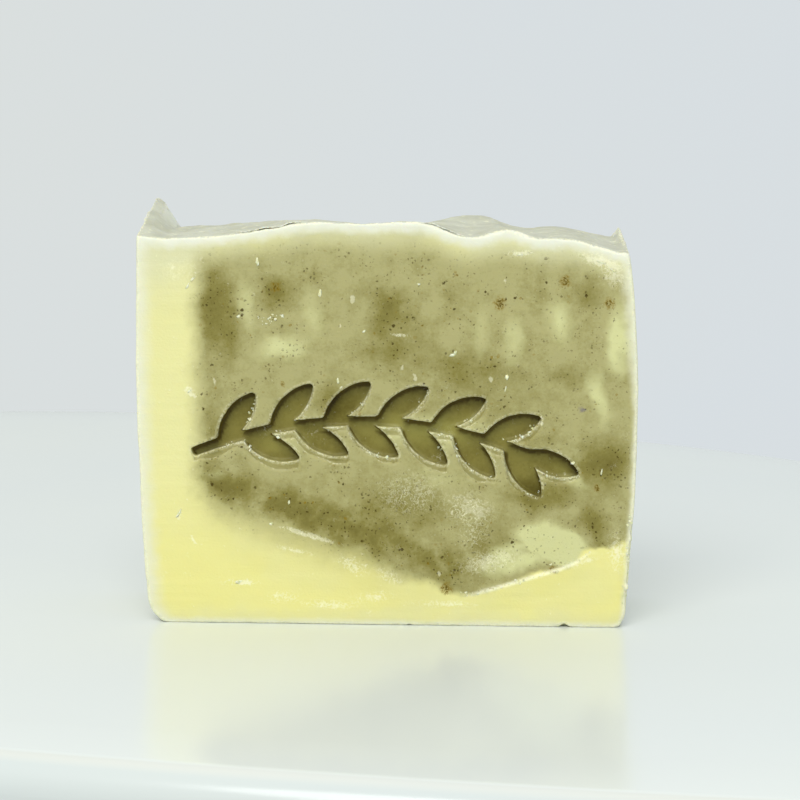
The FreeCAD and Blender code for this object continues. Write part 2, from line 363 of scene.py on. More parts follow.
def cut_and_mould_rise(points, cut, skin, wall, settings):
    """How far the waves, drag lines, ripples and pits of cuts, top and walls lift the surface."""
    rise = settings.cut_wave / MM * cut * hills(points, 9.0, SEED)
    rise += 0.4 * settings.cut_wave / MM * cut * hills(points, 2.6, SEED + 1)
    rise += settings.drag / MM * cut * hills(points, (11.0, 9.0, 0.7), SEED + 2)
    ripples = hills(points, 6.5, SEED + 3) + 0.4 * hills(points, 1.9, SEED + 4)
    rise += settings.skin_wave / MM * skin * ripples
    swells = 0.8 * hills(points, 12.0, SEED + 5) + 0.4 * hills(points, 3.0, SEED + 14)
    rise += settings.cut_wave / MM * wall * swells
    holes = 0.9 * hills(points @ TURNED, 1.1, SEED + 15) + 0.5 * hills(points, 4.3, SEED + 17)
    return rise - settings.wall_pits / MM * wall * smooth(holes, 0.62, 0.9)


def right_edge_rise(points):
    """How far the right front edge has crumbled back, from near the foot to a quarter of the way up."""
    x, y, z = points.T
    corner = smooth(x, 37.0, 38.4) * smooth(-y, -FRONT_MM - 1.6, -FRONT_MM - 0.6) * smooth(z, 2.5, 5.0)
    bites = smooth(hills(points, 1.1, SEED + 12), -0.1, 0.6) - 0.7
    return 0.42 * corner * smooth(-z, -19.0, -15.0) * bites


def press_shares(points, front, shape, settings):
    """How far each point is pressed, on a rim and on the slipped ledge, and how much painted shade it gets
    under an overhang, from 0 to 1.
    """
    x, y, z = points.T
    (left, low), (right, high) = PRESS_MM
    near = (x > left + 0.5) & (x < right - 0.5) & (z > low + 0.5) & (z < high - 0.5)
    near &= y < FRONT_MM + PRESS_DEPTH_MM + 0.2
    depth = shape.press.blurred(0.3)
    pressed = np.clip(depth.at(x, z) / PRESS_DEPTH_MM, 0, 1) * near
    around = smooth(shape.press.blurred(1.1).at(x, z) / PRESS_DEPTH_MM, 0.03, 0.35)
    rim = np.clip(around * (1 - pressed) * front * near, 0, 1)
    uneven = hills(points * (1, 0, 1), 3.4, SEED + 16)
    reach = settings.slip / MM * np.clip(0.8 + 0.55 * uneven, 0.3, 1.2)
    above = [depth.at(x, z + share * reach) / PRESS_DEPTH_MM for share in (0.25, 0.5, 0.75, 1.0)]
    slipped = smooth(np.max(above, axis=0), 0.35, 0.75) * near
    # Painted shadow: the pressed floor just under the upper and left walls, where their shade falls, is
    # marked here for the material to darken.
    roof = np.minimum(depth.at(x, z + 0.9), depth.at(x - 0.5, z + 0.5)) / PRESS_DEPTH_MM
    overhung = smooth(y, FRONT_MM + 1.2, FRONT_MM + 2.0) * smooth(1 - roof, 0.15, 0.85) * near
    return pressed, rim, slipped, overhung


def wear_bar(mesh, shape, settings):
    """Moves the bar's points from the plain solid to the worn one, and paints where each kind of wear is and
    where painted shade falls under the sprig's overhangs.
    """
    points = read_points(mesh)
    normals = read_normals(mesh)
    x, y, z = points.T
    front = smooth(-normals[:, 1], 0.5, 0.9) * (y < FRONT_MM + 0.3)
    rear = smooth(normals[:, 1], 0.5, 0.9) * (y > REAR_MM - 0.3)
    skin = smooth(normals[:, 2], 0.5, 0.8) * (z > 50)
    wall = smooth(np.abs(normals[:, 0]), 0.6, 0.9) * (np.abs(x) > 30)
    pressed, rim, slipped, overhung = press_shares(points, front, shape, settings)

    rise = cut_and_mould_rise(points, front + rear, skin, wall, settings)
    lumps = smooth(hills(points, 0.8, SEED + 6) + 0.5 * hills(points, 2.2, SEED + 7), 0.15, 0.8)
    rise += settings.rim_crumble / MM * rim * lumps
    above_seam = z - seam_height(x)
    on_seam = front * smooth(x, 11.0, 17.0) * smooth(-x, -34.5, -30.0)
    step = smooth(-above_seam, -0.05, 0.25) * smooth(above_seam, -4.5, -0.4)
    rise += on_seam * settings.seam_step / MM * step
    rise += on_seam * 0.18 * np.exp(-((above_seam + 0.3) / 0.35) ** 2) * (0.4 + 0.6 * lumps)
    rise += right_edge_rise(points)
    rise += 0.05 * pressed * hills(points, 1.1, SEED + 13)

    ragged = smooth(hills(points, 1.6, SEED + 8) + 0.6 * hills(points, 0.6, SEED + 9), -0.2, 0.9)
    pull = slack(mesh, points, 14)
    worn = -np.sum(pull * normals, axis=1)
    share = settings.edge_wear * (0.55 + 0.9 * ragged)
    moved = points + pull * share[:, None] * (worn > 0)[:, None]
    moved += normals * rise[:, None]
    shallow = np.clip(1 - (y - FRONT_MM) / PRESS_DEPTH_MM, 0, 1)
    uneven = 0.75 + 0.35 * hills(points, 1.7, SEED + 10)
    moved[:, 1] += settings.slip_depth / MM * slipped * shallow * uneven
    low = np.clip(moved[:, 2], 0, FOOT_MM)
    moved[:, 2] = np.where(moved[:, 2] < FOOT_MM, FOOT_MM * (low / FOOT_MM) ** 1.9, moved[:, 2])
    moved[(z < 0.05) & (normals[:, 2] < -0.9), 2] = 0
    write_points(mesh, moved)

    paint(mesh, "seam", on_seam * np.exp(-((above_seam + 0.2) / 0.32) ** 2))
    paint(mesh, "worn", np.clip(worn / 0.12, -1, 1))
    paint(mesh, "pressed", pressed * smooth(y, FRONT_MM + 0.1, FRONT_MM + 0.5))
    paint(mesh, "press_rim", rim)
    paint(mesh, "slipped", slipped * (1 - smooth(pressed, 0.1, 0.5)))
    # Where the material paints shadow under the sprig's overhangs.
    paint(mesh, "overhung", overhung)


def measure_bar(mesh, shape):
    """Keeps each point's distance, in millimetres, from the loaf's top and from its two walls."""
    x, y, z = read_points(mesh).T
    middle = np.zeros(len(x))
    paint(mesh, "from_top", np.maximum(shape.top.at(x, y) - z, 0))
    paint(mesh, "from_left", np.maximum(x - shape.left.at(z, middle), 0))
    paint(mesh, "from_right", np.maximum(shape.right.at(z, middle) - x, 0))


def thin_out(piece, most_triangles):
    """Thins a piece's mesh to a number of triangles."""
    triangles = sum(len(face.vertices) - 2 for face in piece.data.polygons)
    decimate = piece.modifiers.new("Thinned", "DECIMATE")
    decimate.ratio = min(1, most_triangles / triangles)
    apply_modifiers(piece)


class Signal:
    """A shader node's output, on which Python's operators add Math and Vector Math nodes."""

    def __init__(self, tree, socket):
        self.tree = tree
        self.socket = socket

    @classmethod
    def start(cls, tree, kind, settings=None, inputs=None, output=0):
        """Adds a node of a type, sets it up, and gives its sockets their values or links."""
        node = tree.nodes.new(kind)
        for name, value in (settings or {}).items():
            if name == "stops":
                fill_ramp(node.color_ramp, value)
            elif name == "curve":
                fill_curve(node, value)
            else:
                setattr(node, name, value)
        for name, value in (inputs or {}).items():
            if isinstance(value, Signal):
                tree.links.new(value.socket, node.inputs[name])
            else:
                node.inputs[name].default_value = value
        return cls(tree, node.outputs[output]) if node.outputs else None

    def node(self, kind, settings=None, inputs=None, output=0):
        """Adds a node to this one's tree, in the same way."""
        return Signal.start(self.tree, kind, settings, inputs, output)

    def math(self, operation, *values):
        """A Math node, or a Vector Math node where any of the values is a vector or a colour."""
        if any(isinstance(value, Signal) and value.socket.type != "VALUE" for value in values):
            values = [(value,) * 3 if isinstance(value, (int, float)) else value for value in values]
            return self.node("ShaderNodeVectorMath", {"operation": operation}, dict(enumerate(values)))
        return self.node("ShaderNodeMath", {"operation": operation}, dict(enumerate(values)))

    def __add__(self, other):
        return self.math("ADD", self, other)

    def __radd__(self, other):
        return self.math("ADD", other, self)

    def __sub__(self, other):
        return self.math("SUBTRACT", self, other)

    def __rsub__(self, other):
        return self.math("SUBTRACT", other, self)

    def __mul__(self, other):
        return self.math("MULTIPLY", self, other)

    def __rmul__(self, other):
        return self.math("MULTIPLY", other, self)

    def __truediv__(self, other):
        return self.math("DIVIDE", self, other)

    def __rtruediv__(self, other):
        return self.math("DIVIDE", other, self)

    def least(self, other):
        """The smaller of this value and another one."""
        return self.math("MINIMUM", self, other)

    def most(self, other):
        """The larger of this value and another one."""
        return self.math("MAXIMUM", self, other)

    def size(self):
        """The value without its sign."""
        return self.math("ABSOLUTE", self)

    def held(self):
        """The value kept between 0 and 1."""
        return self.node("ShaderNodeClamp", {}, {"Value": self})

    def rise(self, low, high):
        """0 below low, 1 above high, and an even curve between them. With low above high it falls."""
        return self.node("ShaderNodeMapRange", {"interpolation_type": "SMOOTHSTEP"},
            {"Value": self, "From Min": low, "From Max": high})

    def axis(self, name):
        """One of a vector's three numbers."""
        return self.node("ShaderNodeSeparateXYZ", {}, {0: self}, output="XYZ".index(name))

    def vector(self):
        """A number as a vector of three equal ones."""
        return self.node("ShaderNodeCombineXYZ", {}, {"X": self, "Y": self, "Z": self})

    def length(self):
        """A vector's length."""
        return self.node("ShaderNodeVectorMath", {"operation": "LENGTH"}, {0: self}, output="Value")

    def toward(self, colour, share):
        """This colour, taken a share of the way to another one."""
        return self.node("ShaderNodeMix", {"data_type": "RGBA"},
            {"Factor": share, 6: self, 7: as_colour(colour)}, output=2)

    def times(self, colour, share):
        """This colour multiplied by another one, by a share."""
        return self.node("ShaderNodeMix", {"data_type": "RGBA", "blend_type": "MULTIPLY"},
            {"Factor": share, 6: self, 7: as_colour(colour)}, output=2)

    def ramp(self, *colours):
        """Colours spread evenly over this number's range from 0 to 1."""
        stops = [(place / (len(colours) - 1), colour) for place, colour in enumerate(colours)]
        return self.node("ShaderNodeValToRGB", {"stops": stops}, {"Fac": self})

    def noise(self, width_mm, detail=2.0, roughness=0.5):
        """Soft noise at this place, between 0 and 1, with hills about a width across."""
        return self.node("ShaderNodeTexNoise", {}, {"Vector": self, "Scale": 1 / width_mm, "Detail": detail,
            "Roughness": roughness})

    def stirred(self, width_mm, reach, detail=1.0):
        """This place, pushed about by soft noise with hills about a width across."""
        push = self.node("ShaderNodeTexNoise", {}, {"Vector": self, "Scale": 1 / width_mm, "Detail": detail},
            output="Color") - 0.5
        return self + push * (reach.vector() if isinstance(reach, Signal) else reach)

    def ridges(self, width_mm, thin, detail=1.0):
        """Thin wandering lines, 1 along their middle."""
        return (self.noise(width_mm, detail) - 0.5).size().rise(thin, 0.0)

    def pool(self, centre, radii, turn=0.0):
        """A soft pool that runs through the bar from front to rear: 1 at its centre, 0 at its edge."""
        local = self.node("ShaderNodeMapping", {"vector_type": "TEXTURE"}, {"Vector": self,
            "Location": (centre[0], 0, centre[1]), "Rotation": (0, math.radians(-turn), 0),
            "Scale": (radii[0], 1e4, radii[1])})
        return local.length().rise(1.0, 0.0)

    def pools(self, table):
        """All the pools of a table added up, each with its centre, radii, turn in degrees and strength."""
        return sum_of([self.pool(centre, radii, turn) * strength for centre, radii, turn, strength in table])

    def dots(self, width_mm, kept, radius_mm, stretch=(1, 1, 1), offset=0.0):
        """Dots of many sizes, one in some of the cells of a random pattern."""
        cells = {"Vector": self * stretch + offset, "Scale": 1 / width_mm}
        reach = self.node("ShaderNodeTexVoronoi", {}, cells, output="Distance")
        chance = Signal(self.tree, reach.socket.node.outputs["Color"]).axis("X")
        return (((kept - chance) * (radius_mm / width_mm / kept)) - reach).rise(-0.02, 0.05)


def as_colour(colour):
    """What a colour's socket takes: a link as it is, and three numbers with a fourth."""
    return colour if isinstance(colour, Signal) else (*colour, 1.0)


def fill_ramp(ramp, stops):
    """Sets a ramp's stops, given as places and colours."""
    while len(ramp.elements) < len(stops):
        ramp.elements.new(0.5)
    for element, (place, colour) in zip(ramp.elements, stops):
        element.position = place
        element.color = as_colour(colour)


def fill_curve(node, points):
    """Sets the points of a curve node's one curve."""
    line = node.mapping.curves[0]
    while len(line.points) < len(points):
        line.points.new(0.5, 0.5)
    for spot, place in zip(line.points, points):
        spot.location = place
        spot.handle_type = "AUTO"
    node.mapping.update()


def sum_of(parts):
    """Signals added up one by one."""
    total = parts[0]
    for part in parts[1:]:
        total = total + part
    return total


def empty_tree(owner):
    """The node tree of a new material or world, with nothing in it."""
    owner.use_nodes = True
    owner.node_tree.nodes.clear()
    return owner.node_tree


# Where the herb batch ends above the plain one: places across the front of the bar and their heights.
LOWER_EDGE_MM = ((-40, 23.0), (-30.6, 20.5), (-27.4, 18.4), (-21.8, 15.6), (-8.9, 11.6), (2.3, 8.2),
    (10.4, 5.8), (13.6, 5.3), (20.0, 7.2), (27.9, 9.7), (32.7, 12.4), (40, 13.6))

# Pools of darker herb batch: centre, radii, turn in degrees, strength.
DARK_POOLS = (
    ((-26.8, 50.0), (5.0, 13.0), 4, 0.95),
    ((-27.5, 33.0), (3.4, 9.0), 0, 0.45),
    ((-17.6, 53.6), (4.4, 4.0), 0, 0.95),
    ((0.4, 51.0), (5.4, 6.0), 0, 0.85),
    ((1.5, 45.0), (9.5, 6.5), 10, 0.6),
    ((-8.0, 36.2), (5.5, 4.2), -30, 0.85),
    ((-25.5, 22.5), (7.5, 5.0), 0, 0.62),
    ((-15.0, 19.5), (11.0, 5.0), -20, 0.6),
    ((-4.0, 15.5), (13.0, 5.6), -20, 0.65),
    ((9.0, 9.0), (9.5, 5.0), -14, 0.45),
    ((15.0, 38.0), (16.0, 9.0), 0, 0.35),
    ((3.0, 20.0), (13.0, 6.0), -14, 0.65),
    ((17.0, 13.5), (6.0, 6.5), 30, 0.6),
    ((24.6, 21.4), (9.0, 3.6), 6, 0.95),
    ((33.4, 17.0), (3.8, 7.0), 14, 0.9),
    ((34.6, 26.8), (6.6, 6.4), -10, 1.2),
    ((24.5, 30.0), (6.0, 3.0), 0, 0.4),
    ((12.0, 42.0), (9.0, 5.0), 0, 0.45),
    ((29.0, 40.5), (5.0, 3.5), 0, 0.45),
    ((31.5, 54.5), (4.0, 4.5), 0, 0.55),
    ((10.5, 52.0), (3.0, 5.0), 0, 0.35),
    ((24.0, 54.0), (3.0, 5.0), 0, 0.3),
    ((-11.5, 56.0), (5.0, 3.0), 0, 0.3),
)

# Pools of cream: the same.
CREAM_POOLS = (
    ((-22.3, 51.0), (2.0, 6.0), 6, 0.6),
    ((-16.8, 44.8), (6.5, 3.4), 12, 1.0),
    ((-11.5, 49.5), (2.6, 6.5), 18, 0.55),
    ((14.6, 48.5), (2.2, 7.0), 0, 0.35),
    ((19.8, 46.5), (2.4, 6.0), 0, 0.65),
    ((27.4, 49.2), (3.6, 5.0), 0, 0.9),
    ((36.6, 46.5), (2.6, 9.0), 0, 1.2),
    ((33.8, 37.4), (2.0, 7.0), 16, 0.9),
    ((7.5, 31.5), (16.0, 4.4), 0, 0.7),
    ((-16.0, 29.0), (8.0, 4.0), 0, 0.35),
    ((8.0, 24.0), (11.0, 2.6), -4, 0.3),
    ((29.6, 24.2), (6.0, 1.4), -30, 0.6),
    ((22.0, 10.6), (8.0, 2.2), 16, 1.2),
    ((20.5, 12.6), (8.5, 1.9), 32, 0.9),
    ((-27.5, 24.5), (4.0, 1.6), 0, 0.3),
)

# Single grains of petal that show from a step away: centre and radius.
PETALS_MM = (
    ((17.9, 52.1), 1.5),
    ((28.1, 55.6), 1.3),
    ((35.1, 52.2), 1.2),
    ((26.8, 9.5), 0.9),
    ((9.7, 6.1), 1.4),
    ((-16.6, 38.9), 0.6),
    ((10.9, 56.6), 0.5),
    ((-17.7, 54.4), 1.2),
    ((33.6, 22.8), 0.8),
)
VIOLET_GRAIN_MM = ((31.2, 35.2), (0.9, 0.7))

# The pale tongue at the lower right: centre, radii and turn.
TONGUE_MM = ((26.4, 13.8), (8.2, 4.4), -22)

# Patches of soap that were rubbed dry and chalky: centre, radii, turn, strength.
RUBBED = (
    ((-23.4, 6.7), (4.6, 0.9), 0, 1.0),
    ((-16.5, 4.3), (4.5, 1.5), 4, 0.75),
    ((-9.0, 3.3), (7.0, 1.2), -2, 0.85),
    ((-2.0, 4.6), (5.0, 1.4), 6, 0.7),
    ((9.0, 3.6), (9.0, 1.0), 0, 0.6),
    ((-12.5, 14.6), (7.6, 0.7), -16, 1.3),
    ((-14.6, 12.0), (5.2, 0.6), -12, 0.9),
    ((-5.4, 9.8), (4.2, 1.9), -25, 0.85),
    ((0.5, 8.0), (4.0, 1.6), -25, 0.7),
    ((13.4, 19.0), (5.6, 4.2), -20, 0.95),
    ((16.6, 10.6), (7.0, 2.6), 12, 1.0),
    ((14.0, 14.5), (4.0, 3.0), 0, 0.5),
    ((4.0, 21.5), (8.0, 5.0), 0, 0.6),
    ((21.0, 60.0), (3.4, 0.8), 0, 1.1),
    ((33.6, 58.9), (5.4, 1.6), -16, 1.1),
    ((36.0, 56.4), (3.4, 2.6), -20, 0.8),
    ((-33.0, 57.0), (5.0, 3.4), 0, 0.35),
    ((-31.3, 37.4), (1.8, 1.2), -30, 0.9),
    ((-33.2, 17.6), (0.7, 1.8), -20, 1.0),
    ((-30.8, 13.4), (0.5, 1.6), 30, 0.9),
    ((30.5, 10.5), (6.0, 1.0), 18, 0.8),
    ((37.0, 12.5), (2.4, 5.5), 0, 0.8),
    ((2.0, 46.9), (2.4, 0.4), -4, 1.6),
)

# What the soap's colour is multiplied by as painted shade where it is pressed, and as deeper painted shade
# where that also lies in shadow.
PRESS_SHADE_TINT = (0.53, 0.49, 0.20)
SHADED_TINT = (0.38, 0.31, 0.12)

# The same for painted shade on the board's rounded edge, and on its side.
BOARD_EDGE_SHADE_TINT = (0.93, 0.91, 0.88)
BOARD_SIDE_SHADE_TINT = (0.90, 0.94, 0.98)

# What is painted at the bar's points for its material to read.
PAINTED = ("worn", "pressed", "press_rim", "slipped", "overhung", "seam", "from_top", "from_left",
    "from_right")


def lower_edge(x):
    """How high the herb batch ends, for each place across the bar."""
    low, high = LOWER_EDGE_MM[0][0], LOWER_EDGE_MM[-1][0]
    curve = [((across - low) / (high - low), height / TOP_MM) for across, height in LOWER_EDGE_MM]
    return x.node("ShaderNodeFloatCurve", {"curve": curve}, {"Value": (x - low) / (high - low)}) * TOP_MM


def plain_batch(place, x, z, above, painted, colours):
    """The plain yellow soap: paler higher up, dull by the walls, and stained just below the herb batch."""
    from_top, from_right = painted["from_top"], painted["from_right"]
    plain = z.rise(30, 8).ramp(colours.pale_yellow, colours.yellow)
    plain = plain.toward(colours.cap, from_top.rise(14.0, 2.5) * 0.9)
    plain = plain.toward(colours.cap, from_right.rise(6.0, 1.0) * z.rise(40.0, 48.0) * 0.9)
    plain = plain.toward(colours.olive, from_right.rise(4.0, 1.0) * z.rise(14.0, 19.0) * z.rise(44.0, 36.0))
    stain = above.rise(-8.0, 1.0) * x.rise(14.0, 4.0) * x.rise(-34.0, -26.0)
    plain = plain.toward(colours.olive, stain * 0.22)
    plain = plain.toward(colours.pale_yellow, place.noise(11.0, 2.0).rise(0.42, 0.68) * 0.5)
    return plain.toward(colours.cap, z.rise(4.0, 0.5) * 0.45)


def soap_batches(place, painted, colours):
    """The marbling's colour, the share of the herb batch in it, and how dark the herb batch is."""
    depth = place.axis("Y") - FRONT_MM
    swirl = place.stirred(15.0, depth * 0.75).stirred(5.0, 3.2, 2.0).stirred(1.3, 0.9)
    x, z = swirl.axis("X"), swirl.axis("Z")
    above = z - lower_edge(x)
    herb_batch = (above / (x.rise(16, -16) * 3.8 + 0.6)).rise(-0.8, 1.1) * x.rise(-32.6, -28.0)
    herb_batch = herb_batch * painted["from_top"].rise(0.8, 6.0) * painted["from_right"].rise(-2.0, 2.0)

    mottle = place.noise(3.0, 3.0, 0.6)
    streak = above.rise(1.0, 4.5) * above.rise(10.0, 5.0) * x.rise(20.0, 10.0) * mottle.rise(0.25, 0.6)
    grain = place.noise(0.5, 2.0, 0.65)
    dark = swirl.pools(DARK_POOLS) * 0.66 + streak * 0.25 + mottle * 0.8 + grain * 0.35 - 0.53
    dark = dark.held()
    cream = (swirl.pools(CREAM_POOLS) + place.noise(2.4) * 0.4 - 0.25).held()
    cream = cream.most(swirl.pool(*TONGUE_MM).rise(0.05, 0.35) * 0.95)
    herbs = dark.ramp(colours.olive, colours.dark_olive, colours.deep_olive).toward(colours.cream, cream)
    return plain_batch(place, x, z, above, painted, colours).toward(herbs, herb_batch), herb_batch, dark


def near_front(place):
    """1 at the front cut, and 0 from three millimetres in."""
    return place.axis("Y").rise(FRONT_MM + 3.0, FRONT_MM + 1.0)


def soap_grains(soap, place, painted, herb_batch, dark, colours):
    """Ground herb and petal, thicker where the herb batch pools, and the few grains that stand out."""
    shaken = place.stirred(0.45, 0.55, 2.0)
    crowd = place.noise(3.4, 3.0, 0.65).rise(0.40, 0.62)
    crowded = (crowd * 0.6 + dark * 0.9 - 0.02).held() * herb_batch * (1 - painted["pressed"] * 0.8)
    fine = shaken.dots(0.55, 0.85, 0.20) * crowded
    speckle = place.noise(0.32, 3.0, 0.7)
    dust = speckle.rise(0.57, 0.72) * (crowded * 0.6 + dark * 0.5) * herb_batch
    coarse = shaken.dots(1.6, 0.50, 0.30, offset=31.0) * crowded.rise(0.1, 0.5)
    rust = shaken.dots(1.1, 0.60, 0.30, offset=67.0) * place.noise(6.0).rise(0.42, 0.56) * crowded
    soap = soap.toward(colours.deep_olive, dust.held() * 0.7)
    soap = soap.toward(colours.petal, rust * 0.8).toward(colours.herb, (fine * 0.85).most(coarse * 0.9))
    ragged = place.stirred(0.7, 1.5, 3.0)
    petals = sum_of([ragged.pool(centre, (radius, radius * 1.15)) for centre, radius in PETALS_MM])
    petals = petals * near_front(place)
    soap = soap.toward(colours.petal, petals.rise(0.0, 0.7) * (speckle.rise(0.38, 0.6) * 0.75 + 0.15))
    soap = soap.toward(colours.herb, petals.rise(0.4, 0.95) * speckle.rise(0.46, 0.6) * 0.85)
    return soap.toward(colours.violet, ragged.pool(*VIOLET_GRAIN_MM) * 0.6)


def dried_and_ashy(soap, place, wall, top_ash_and_shade, painted, colours):
    """The rim that dried along the edges and over the walls, and the ashy top, whose colour also holds
    painted shade.
    """
    wavering = place.noise(2.0) * 1.6
    from_right = painted["from_right"] * (2.5 - place.axis("Z").rise(34.0, 44.0) * 1.2)
    from_edge = painted["from_left"].least(from_right).least(painted["from_top"] * 1.5)
    from_edge = from_edge.least(place.axis("Z") * 2.6) + wavering
    cloudy = place.noise(5.0, 3.0, 0.6).rise(0.3, 0.7)
    soap = soap.toward(colours.rim, from_edge.rise(4.2, 1.0) * (0.95 - wall * cloudy * 0.35))
    soap = soap.toward(colours.bloom, (painted["from_top"] + wavering).rise(3.4, 1.2) * 0.65)
    # Painted shade: the top is taken toward the darker skin colour, under its ashy chalk.
    soap = soap.toward(colours.skin, top_ash_and_shade * (0.95 - cloudy * 0.3))
    return soap.toward(colours.chalk, top_ash_and_shade * place.noise(1.4, 3.0, 0.65).rise(0.55, 0.75) * 0.45)


def rubbed_share(place, painted, herb_batch, grain):
    """Where the soap is rubbed dry and chalky: in patches, nicks and crumbled rims, and along sharp edges;
    with a painted highlight along the slipped ledge's lower step.
    """
    at_front = near_front(place)
    strewn = place.noise(4.0, 3.0, 0.6).rise(0.60, 0.8) * (herb_batch * 0.35 + (1 - at_front) * 0.4)
    patches = (place.pools(RUBBED) * at_front + strewn).held()
    wrinkles = place.stirred(0.8, 0.9).ridges(0.75, 0.045).most(grain.rise(0.56, 0.70) * 0.7)
    nicks = place.stirred(0.7, 1.0, 2.0).dots(4.0, 0.12, 0.9, stretch=(2.0, 1, 1), offset=11.0) * herb_batch
    broken = place.noise(1.5, 3.0, 0.6)
    caked = (patches * 0.7 + grain * 1.2 + broken * 1.5 - 1.65).rise(0.0, 0.45) * (0.62 - herb_batch * 0.32)
    rubbed = (patches * wrinkles * 0.75).most(caked)
    # Painted highlight along the lit lower step of the slipped ledge, broken up like crumbs; the crumbled
    # rims below carry it with the real crumbs.
    ledge_highlight_and_crumbs = painted["slipped"].rise(0.02, 0.2) * painted["slipped"].rise(0.75, 0.35)
    crumbled = (painted["press_rim"] * 0.25).most(ledge_highlight_and_crumbs * 0.45) * broken.rise(0.48, 0.66)
    rubbed = rubbed + crumbled * grain.rise(0.40, 0.58) * 0.9 + nicks * 0.35
    sharp = painted["worn"].rise(0.3, 0.95) * (0.5 - painted["press_rim"] * 0.35)
    return (rubbed + sharp * grain.rise(0.35, 0.6)).held()


def soap_material(colours):
    """Marbled soap with herb grains, rubbed patches, a dried rim and an ashy top, with painted shade on the
    top and in and below the pressed sprig, and a painted highlight on the ledge below it.
    """
    material = bpy.data.materials.new("marbled_soap")
    tree = empty_tree(material)
    place = Signal.start(tree, "ShaderNodeTexCoord", output="Object") * (1 / MM)
    normal = Signal.start(tree, "ShaderNodeNewGeometry", output="Normal")
    painted = {name: Signal.start(tree, "ShaderNodeAttribute", {"attribute_name": name}, output="Fac")
        for name in PAINTED}
    grain = place.noise(0.4, 2.0, 0.65)
    up = normal.axis("Z")
    wall = normal.axis("X").size().rise(0.6, 0.95)
    # The loaf's top, whose colour holds painted shade as well as ashy chalk.
    top_ash_and_shade = up.rise(0.45, 0.8) * painted["from_top"].rise(1.2, 0.4)

    soap, herb_batch, dark = soap_batches(place, painted, colours)
    soap = soap_grains(soap, place, painted, herb_batch, dark, colours)
    soap = dried_and_ashy(soap, place, wall, top_ash_and_shade, painted, colours)
    rubbed = rubbed_share(place, painted, herb_batch, grain)
    # The pressed walls; the ones that face down are darkened below as painted shade.
    sides = painted["pressed"].rise(0.02, 0.3) * painted["pressed"].rise(0.97, 0.8)
    # Painted shade: the slipped ledge below the sprig is darkened toward dark olive, as the shadow under the
    # sprig's lower edge.
    soap = soap.toward(colours.dark_olive, painted["slipped"].rise(0.5, 0.9) * 0.55)
    # Painted shade over the whole pressed recess.
    soap = soap.times(PRESS_SHADE_TINT, painted["pressed"] * 0.9)
    # Deeper painted shade on the pressed walls that face down, and painted shadow on the floor under their
    # overhang.
    soap = soap.times(SHADED_TINT, (sides * up.rise(0.15, -0.4)).most(painted["overhung"]))
    # Chalk where the soap is rubbed, crumbled or on the seam; this also brings in the painted highlight on
    # the ledge.
    soap = soap.toward(colours.chalk, rubbed.most(painted["seam"] * grain.rise(0.25, 0.5) * 0.7))

    lines = (place * (0.08, 0.1, 1.0)).noise(0.35, 3.0, 0.6)
    heights = grain * (painted["press_rim"] + 0.8) + lines * 0.45
    bump = heights.node("ShaderNodeBump", {}, {"Height": heights, "Strength": 0.5, "Distance": 0.12 * MM})
    gloss = rubbed * 0.25 + grain * 0.16 - painted["pressed"] * 0.12 - wall * 0.1 + top_ash_and_shade * 0.15 + 0.38
    surface = soap.node("ShaderNodeBsdfPrincipled", {"subsurface_method": "RANDOM_WALK"}, {
        "Base Color": soap, "Roughness": gloss, "Normal": bump, "IOR": 1.46, "Specular IOR Level": 0.15,
        "Subsurface Weight": 0.22, "Subsurface Radius": (1.0, 0.8, 0.35), "Subsurface Scale": 1.1 * MM})
    surface.node("ShaderNodeOutputMaterial", {}, {"Surface": surface})
    return material


def crumb_material(name, low, high):
    """Bits of dried soap, from one colour to another."""
    material = bpy.data.materials.new(name)
    place = Signal.start(empty_tree(material), "ShaderNodeTexCoord", output="Object") * (1 / MM)
    tone = place.noise(0.5).rise(0.3, 0.7)
    bump = tone.node("ShaderNodeBump", {},
        {"Height": place.noise(0.25), "Strength": 0.4, "Distance": 0.04 * MM})
    surface = tone.node("ShaderNodeBsdfPrincipled", {}, {
        "Base Color": tone.ramp(low, high), "Roughness": tone * 0.2 + 0.4, "Normal": bump,
        "Specular IOR Level": 0.2, "Subsurface Weight": 0.5, "Subsurface Radius": (1.0, 0.8, 0.5),
        "Subsurface Scale": 0.3 * MM})
    surface.node("ShaderNodeOutputMaterial", {}, {"Surface": surface})
    return material


def floor_material(settings):
    """Gloss paint on a flat board, darker down its edge and side as painted shade."""
    material = bpy.data.materials.new("gloss_paint")
    place = Signal.start(empty_tree(material), "ShaderNodeTexCoord", output="Object") * (1 / MM)
    height = place.axis("Z")
    sheen = place.noise(70.0) * 0.08 + 0.13
    paint_colour = place.noise(120.0).ramp(settings.floor, settings.surround_left)
    # Painted shade down the board's rounded edge.
    paint_colour = paint_colour.times(BOARD_EDGE_SHADE_TINT, height.rise(-0.02, -0.2))
    # Painted shade, cooler, on the board's side.
    paint_colour = paint_colour.times(BOARD_SIDE_SHADE_TINT, height.rise(-0.3, -1.2))
    surface = sheen.node("ShaderNodeBsdfPrincipled", {},
        {"Base Color": paint_colour, "Roughness": sheen, "Specular IOR Level": 0.5})
    surface.node("ShaderNodeOutputMaterial", {}, {"Surface": surface})
    return material


class SOAP_OT_make_bar(bpy.types.Operator):
    """Make the worn and marbled bar from the frame's solid"""

    bl_idname = "soap.make_bar"
    bl_label = "Bar"

    def execute(self, context):
        settings = context.scene.soap_bar
        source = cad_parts[NODE]
        shape = BarShape(source.data)
        piece = even_copy(source, DRESSED, settings.cell)
        wear_bar(piece.data, shape, settings)
        thin_out(piece, settings.most_triangles)
        measure_bar(piece.data, shape)
        shade_smooth(piece.data)
        piece.data.materials.clear()
        piece.data.materials.append(soap_material(context.scene.soap_marbling))
        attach(piece, BODY)
        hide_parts(NODE)
        return {"FINISHED"}


